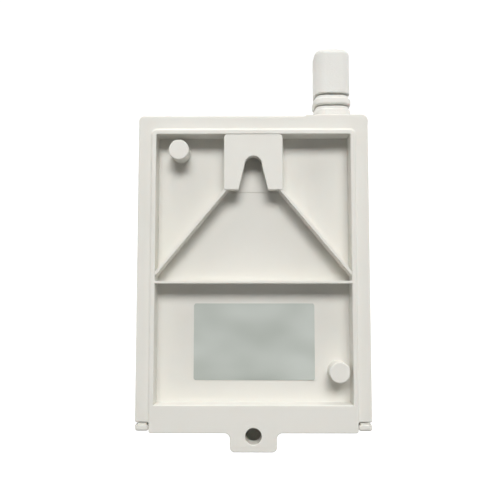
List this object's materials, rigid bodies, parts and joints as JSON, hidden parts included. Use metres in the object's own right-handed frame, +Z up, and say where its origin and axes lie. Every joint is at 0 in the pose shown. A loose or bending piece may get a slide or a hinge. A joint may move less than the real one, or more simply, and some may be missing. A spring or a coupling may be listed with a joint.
{
  "type": "wireless relay receiver",
  "caption": "Wall-mounted relay receiver: white case with a recessed back, hanging hook, screw tab, stub antenna, learn button and a sliding wiring cover.",
  "frame": {"origin": "centre of the screw tab's hole in the wall plane, at the back of the case", "axes": "+Z up towards the antenna, +Y into the wall, +X to the right when the front is seen"},
  "size_m": [0.0698, 0.0302, 0.1254],
  "materials": {
    "case_plastic": "fine satin mould finish, warm white",
    "antenna_plastic": "fine matte grain, warm white",
    "antenna_metal": "turned brass",
    "nickel": "nickel plated",
    "rubber": "matte grey",
    "label_film": "pale silver film, soft sheen",
    "screw_steel": "zinc plated",
    "board": "green solder mask",
    "relay_case": "satin black",
    "terminal_plastic": "green polyamide",
    "clamp_plastic": "black polyamide",
    "ferrite": "dark ferrite",
    "winding": "yellow winding tape",
    "capacitor_sleeve": "dark sleeve",
    "film_case": "yellow box",
    "varistor_coat": "blue epoxy",
    "fuse_case": "brown cap",
    "chip_case": "black epoxy",
    "crystal_can": "tinned can",
    "copper": "enamelled copper wire",
    "button_plastic": "satin grey",
    "lens": "clear moulded rod",
    "lamp": "white lamp body"
  },
  "bodies": {
    "root": {"rear_cover": "case_plastic", "front_cover": "case_plastic", "screw_caps": "case_plastic", "case_screws": "screw_steel", "rating_label": "label_film", "circuit_board": "board", "board_screws": "screw_steel", "terminal_block": "terminal_plastic", "terminal_screws": "nickel", "cable_clamp": "clamp_plastic", "cable_clamp_screws": "screw_steel", "antenna_base": "antenna_plastic", "antenna_gasket": "rubber", "antenna_locknut": "nickel", "antenna_socket": "antenna_metal", "receiver_board": "board", "receiver_header": "clamp_plastic", "receiver_chip": "chip_case", "receiver_crystal": "crystal_can", "learn_switch": "chip_case", "status_leds": "lamp", "light_pipes": "lens", "power_relay": "relay_case", "mains_fuse": "fuse_case", "varistor": "varistor_coat", "film_capacitor": "film_case", "bridge_rectifier": "chip_case", "bulk_capacitor": "capacitor_sleeve", "output_capacitor": "capacitor_sleeve", "transformer_base": "clamp_plastic", "transformer_core": "ferrite", "transformer_coil": "winding", "power_chip": "chip_case", "microcontroller": "chip_case", "flyback_diode": "chip_case", "relay_transistor": "chip_case"},
    "wiring_cover": {"wiring_cover": "case_plastic"},
    "learn_button": {"learn_button": "button_plastic", "learn_plunger": "clamp_plastic"},
    "antenna_stub": {"antenna_cap": "antenna_plastic", "antenna_foot": "antenna_metal", "antenna_coil": "copper", "antenna_pin": "antenna_metal"},
    "antenna_nut": {"antenna_nut": "antenna_plastic"}
  },
  "joints": [
    {"name": "wiring_cover_slide", "type": "slide", "parent": "root", "child": "wiring_cover", "axis": [0, 0, -1], "range_m": [0, 0.022]},
    {"name": "learn_button_press", "type": "slide", "parent": "root", "child": "learn_button", "axis": [0, 1, 0], "range_m": [0, 0.0005], "stiffness_N_per_m": 800, "springref_m": -0.001},
    {"name": "antenna_lift", "type": "slide", "parent": "root", "child": "antenna_stub", "axis": [0, 0, 1], "range_m": [0, 0.0015]},
    {"name": "antenna_nut_turn", "type": "hinge", "parent": "antenna_stub", "child": "antenna_nut", "pos_m": [-0.02563, -0.016, 0.1038], "axis": [0, 0, 1], "range_deg": [0, 720]}
  ],
  "couplings": [
    {"joint": "antenna_nut_turn", "follows": "antenna_lift", "rad_per_m": 8377.6}
  ]
}
